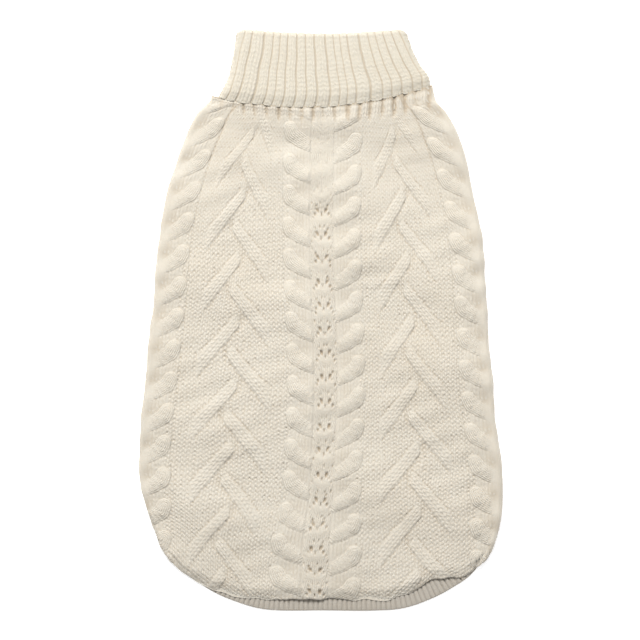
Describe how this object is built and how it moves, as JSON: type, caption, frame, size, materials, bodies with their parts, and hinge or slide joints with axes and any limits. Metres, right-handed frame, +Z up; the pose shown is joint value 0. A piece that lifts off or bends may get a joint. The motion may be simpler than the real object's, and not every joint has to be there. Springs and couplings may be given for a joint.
{
  "type": "dog sweater",
  "caption": "Cream cable-knit dog sweater lying flat, back up, with a folded ribbed turtleneck, herringbone cables, a lace column and two leg openings underneath.",
  "frame": {"origin": "centre of the sweater's footprint, on the surface it lies on", "axes": "+X towards the right of the picture, +Y from the tail to the neck, +Z up out of the back panel"},
  "size_m": [0.2246, 0.361, 0.0118],
  "materials": {
    "knit_cream": "matte",
    "rib_cream": "matte",
    "band_cream": "matte"
  },
  "bodies": {
    "root": {"back_panel": "knit_cream", "belly_panel": "knit_cream", "collar": "rib_cream", "hem_band": "band_cream", "leg_band_left": "rib_cream", "leg_band_right": "rib_cream"}
  },
  "joints": []
}
